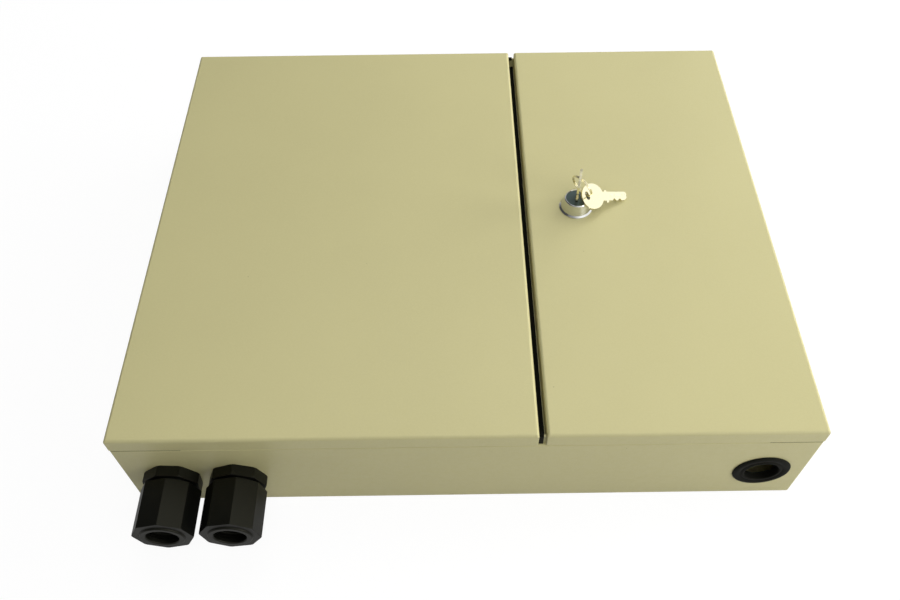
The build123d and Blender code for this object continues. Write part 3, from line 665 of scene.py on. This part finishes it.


# Black strip in the gutter between the doors, turned down over the rim at both ends: painted shade, a
# dark sheet that stands in for the shade in the gap between the doors


def gutter_shade_strip():
    gutter_low, gutter_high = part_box("centre_gutter")
    door_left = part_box("left_door")[1][0]
    door_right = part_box("right_door")[0][0]
    rim_low, rim_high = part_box("partition")
    floor = gutter_low[2] + SHEET
    strip_end = (door_left + door_right) / 2 + SHADE_STRIP_PAST_MIDDLE
    across = (gutter_low[0] + SHADE_STRIP_SIDE, strip_end)
    span = (gutter_low[1], gutter_high[1])
    strips = [plate(across, span, (floor, floor + SHADE_STRIP_THICK), SHADE_STRIP_EDGE)]
    between = (door_left + SHADE_PIECE_CLEAR, strip_end - SHADE_STRIP_END_SHORTER)
    for end, rim_y in ((-1, rim_low[1] - RIM_SHEET), (1, rim_high[1] + RIM_SHEET)):
        outside = rim_y + end * SHADE_STRIP_THICK
        y = sorted((rim_y, outside))
        strips.append(plate(between, y, (floor, rim_high[2] + SHADE_STRIP_THICK), SHADE_STRIP_END_EDGE))
        y = sorted((outside, rim_y - end * SHADE_STRIP_RETURN))
        strips.append(plate(between, y, (rim_high[2], rim_high[2] + SHADE_STRIP_THICK), SHADE_STRIP_END_EDGE))
    # Painted shade: this black strip darkens the gap between the doors
    new_piece("gutter_shade_strip", merged(strips), "cabinet", "black_rubber")


gutter_shade_strip()


# Black wedges in the seam under the doors' skirts, at the outer corners, thinning out inwards: painted
# shade, dark pieces that stand in for the shade in the seam near the corners


def seam_shade_wedges():
    skirt_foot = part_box("left_door")[0]
    rim_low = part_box("partition")[0]
    y = (skirt_foot[1] + SHADE_PIECE_CLEAR, rim_low[1] - RIM_SHEET)
    z = (SHOULDER, skirt_foot[2] - SEAM_CLEAR)
    wedges = []
    for outer, inner in SEAM_SHADE_SPANS:
        form = plate(sorted((outer, inner)), y, z)
        for vert in form.verts:
            if abs(vert.co.x - inner) < MM and vert.co.z > SHOULDER:
                vert.co.z = SHOULDER + SEAM_THIN
        wedges.append(form)
    # Painted shade: these black wedges darken the seam near the outer corners
    new_piece("seam_shade_wedges", merged(wedges), "cabinet", "black_rubber")


seam_shade_wedges()


# Splice trays: fibre tabs over the rim, and a bead round the lid


def tray_tabs(node):
    low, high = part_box(node)
    middle = middle_of(node)
    top = (high[2] - TAB_THICK, high[2])
    near_x = (low[0] + TAB_INSET, low[0] + TAB_WIDE)
    far_x = (high[0] - TAB_WIDE, high[0] - TAB_INSET)
    near_y = (low[1] + TAB_INSET, low[1] + TAB_WIDE)
    far_y = (high[1] - TAB_WIDE, high[1] - TAB_INSET)
    tabs = []
    for step in (-1, 0, 1):
        x = middle.x + step * TAB_PITCH
        along = (x - TAB_LONG / 2, x + TAB_LONG / 2)
        tabs.append(plate(along, near_y, top, TAB_EDGE))
        tabs.append(plate(along, far_y, top, TAB_EDGE))
    for step in (-1, 1):
        y = middle.y + step * TAB_PITCH
        along = (y - TAB_LONG / 2, y + TAB_LONG / 2)
        tabs.append(plate(near_x, along, top, TAB_EDGE))
        tabs.append(plate(far_x, along, top, TAB_EDGE))
    new_piece(node + "_tabs", merged(tabs), body_holding(node), "white_plastic")


def rounded_rectangle(low, high, inset, radius, height):
    """Points round a rectangle with round corners."""
    points = []
    corners = ((1, 1, 0), (-1, 1, 90), (-1, -1, 180), (1, -1, 270))
    for side_x, side_y, start in corners:
        x = (high[0] - inset - radius) if side_x > 0 else (low[0] + inset + radius)
        y = (high[1] - inset - radius) if side_y > 0 else (low[1] + inset + radius)
        for step in range(CORNER_STEPS + 1):
            angle = math.radians(start + 90 * step / CORNER_STEPS)
            points.append(Vector((x + radius * math.cos(angle), y + radius * math.sin(angle), height)))
    return points


def lid_bead():
    low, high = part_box("splice_tray_lid")
    points = rounded_rectangle(low, high, LID_INSET, LID_CORNER_R, high[2])
    body = body_holding("splice_tray_lid")
    sweep("splice_tray_lid_bead", points, LID_BEAD_R, body, "clear_plastic", closed=True)


for tray in ("splice_tray_lower", "splice_tray_upper"):
    tray_tabs(tray)
lid_bead()


# Fibre adapters: a spring clip on both sides of each


def adapter_clips():
    low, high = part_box("fibre_adapters")
    middle = middle_of("fibre_adapters")
    pitch = (high[1] - low[1] - ADAPTER_WIDE) / (ADAPTERS - 1)
    span = (middle.x + CLIP_SPAN[0], middle.x + CLIP_SPAN[1])
    barb = (middle.x + CLIP_BARB[0], middle.x + CLIP_BARB[1])
    tall = (middle.z - CLIP_HIGH / 2, middle.z + CLIP_HIGH / 2)
    clips = []
    for count in range(ADAPTERS):
        y = low[1] + ADAPTER_WIDE / 2 + count * pitch
        for side in (-1, 1):
            near = y + side * ADAPTER_WIDE / 2
            far = near + side * CLIP_SHEET
            raised = far + side * CLIP_SHEET * 2
            clips.append(plate(span, sorted((near, far)), tall, CLIP_EDGE))
            clips.append(plate(barb, sorted((far, raised)), tall, CLIP_EDGE))
    new_piece("adapter_clips", merged(clips), body_holding("fibre_adapters"), "zinc_steel")


adapter_clips()


# Floor, light and camera


def math_node(tree, operation, *values):
    node = tree.nodes.new("ShaderNodeMath")
    node.operation = operation
    for entry, value in zip(node.inputs, values):
        if isinstance(value, (int, float)):
            entry.default_value = value
        else:
            tree.links.new(value, entry)
    return node.outputs["Value"]


def ray_kinds(tree):
    """1 for what the camera sees, and 1 for what metal, gloss and clear plastic show."""
    path = tree.nodes.new("ShaderNodeLightPath")
    glossy = path.outputs["Is Glossy Ray"]
    passing = path.outputs["Is Transmission Ray"]
    mirrored = math_node(tree, "MAXIMUM", glossy, passing)
    return path.outputs["Is Camera Ray"], mirrored


def mixed_level(tree, factor, first, second):
    node = tree.nodes.new("ShaderNodeMix")
    node.data_type = "FLOAT"
    tree.links.new(factor, node.inputs[0])
    for entry, value in ((node.inputs[2], first), (node.inputs[3], second)):
        if isinstance(value, float):
            entry.default_value = value
        else:
            tree.links.new(value, entry)
    return node.outputs[0]


def make_floor():
    """A pale floor that keeps the part's shadow and is nearly white to the camera."""
    mesh = bpy.data.meshes.new("floor")
    sides = ((-1, -1), (1, -1), (1, 1), (-1, 1))
    corners = [(x * FLOOR_REACH, y * FLOOR_REACH, 0) for x, y in sides]
    mesh.from_pydata(corners, [], [(0, 1, 2, 3)])
    floor = bpy.data.objects.new("floor", mesh)
    bpy.context.scene.collection.objects.link(floor)
    floor.location.z = -FLOOR_DROP
    material = bpy.data.materials.new("floor")
    material.use_nodes = True
    tree = material.node_tree
    tree.nodes.clear()
    plain = tree.nodes.new("ShaderNodeBsdfDiffuse")
    plain.inputs["Color"].default_value = (*FLOOR_PLAIN, 1.0)
    shade = tree.nodes.new("ShaderNodeBsdfDiffuse")
    shade.inputs["Color"].default_value = (*FLOOR_SHADE, 1.0)
    camera_ray, mirrored = ray_kinds(tree)
    seen = math_node(tree, "MAXIMUM", camera_ray, mirrored)
    glow = tree.nodes.new("ShaderNodeEmission")
    tree.links.new(mixed_level(tree, mirrored, FLOOR_GLOW, FLOOR_MIRRORED), glow.inputs["Strength"])
    both = tree.nodes.new("ShaderNodeAddShader")
    tree.links.new(shade.outputs[0], both.inputs[0])
    tree.links.new(glow.outputs[0], both.inputs[1])
    mix = tree.nodes.new("ShaderNodeMixShader")
    tree.links.new(seen, mix.inputs[0])
    tree.links.new(plain.outputs[0], mix.inputs[1])
    tree.links.new(both.outputs[0], mix.inputs[2])
    output = tree.nodes.new("ShaderNodeOutputMaterial")
    tree.links.new(mix.outputs[0], output.inputs["Surface"])
    mesh.materials.append(material)


def room_side(tree, direction, side, low, high, fade=ROOM_FADE):
    """A level that goes from low to high towards one side of the room."""
    facing = tree.nodes.new("ShaderNodeVectorMath")
    facing.operation = "DOT_PRODUCT"
    tree.links.new(direction, facing.inputs[0])
    facing.inputs[1].default_value = side
    level = tree.nodes.new("ShaderNodeMapRange")
    level.interpolation_type = "SMOOTHSTEP"
    level.inputs["From Min"].default_value = fade[0]
    level.inputs["From Max"].default_value = fade[1]
    level.inputs["To Min"].default_value = low
    level.inputs["To Max"].default_value = high
    tree.links.new(facing.outputs["Value"], level.inputs["Value"])
    return level.outputs["Result"]


def make_world():
    """White to the camera, and to metal and gloss a room that is brightest at one side."""
    world = bpy.data.worlds.new("studio")
    world.use_nodes = True
    tree = world.node_tree
    tree.nodes.clear()
    direction = tree.nodes.new("ShaderNodeTexCoord").outputs["Generated"]
    room = room_side(tree, direction, ROOM_BRIGHT_SIDE, ROOM_LOW, ROOM_HIGH)
    front = room_side(tree, direction, ROOM_FRONT_SIDE, 0.0, ROOM_FRONT, FRONT_FADE)
    horizon = room_side(tree, direction, UP, ROOM_HORIZON, 0.0, HORIZON_FADE)
    room = math_node(tree, "ADD", room, front)
    room = math_node(tree, "ADD", room, horizon)
    camera_ray, mirrored = ray_kinds(tree)
    unseen = mixed_level(tree, mirrored, AMBIENT, room)
    level = mixed_level(tree, camera_ray, unseen, 1.0)
    background = tree.nodes.new("ShaderNodeBackground")
    background.inputs["Color"].default_value = (*WHITE, 1.0)
    tree.links.new(level, background.inputs["Strength"])
    output = tree.nodes.new("ShaderNodeOutputWorld")
    tree.links.new(background.outputs[0], output.inputs["Surface"])
    bpy.context.scene.world = world


def make_lamp(name, place, size, power):
    """A round lamp that faces the middle of the floor."""
    data = bpy.data.lights.new(name, "AREA")
    data.shape = "DISK"
    data.size = size
    data.energy = power
    lamp = bpy.data.objects.new(name, data)
    bpy.context.scene.collection.objects.link(lamp)
    lamp.location = place
    lamp.rotation_euler = (-place).to_track_quat("-Z", "Y").to_euler()
    lamp.visible_glossy = name not in UNMIRRORED


def make_camera():
    data = bpy.data.cameras.new("camera")
    data.lens = LENS_MM
    data.sensor_width = SENSOR_MM
    camera = bpy.data.objects.new("camera", data)
    bpy.context.scene.collection.objects.link(camera)
    turn = Matrix((CAMERA_RIGHT, CAMERA_UP, CAMERA_BACK)).transposed()
    camera.matrix_world = Matrix.Translation(CAMERA_PLACE) @ turn.to_4x4()
    bpy.context.scene.camera = camera


make_floor()
make_world()
for lamp_name, (lamp_place, lamp_size, lamp_power) in LAMPS.items():
    make_lamp(lamp_name, lamp_place, lamp_size, lamp_power)
make_camera()
bpy.context.scene.view_settings.view_transform = "Standard"
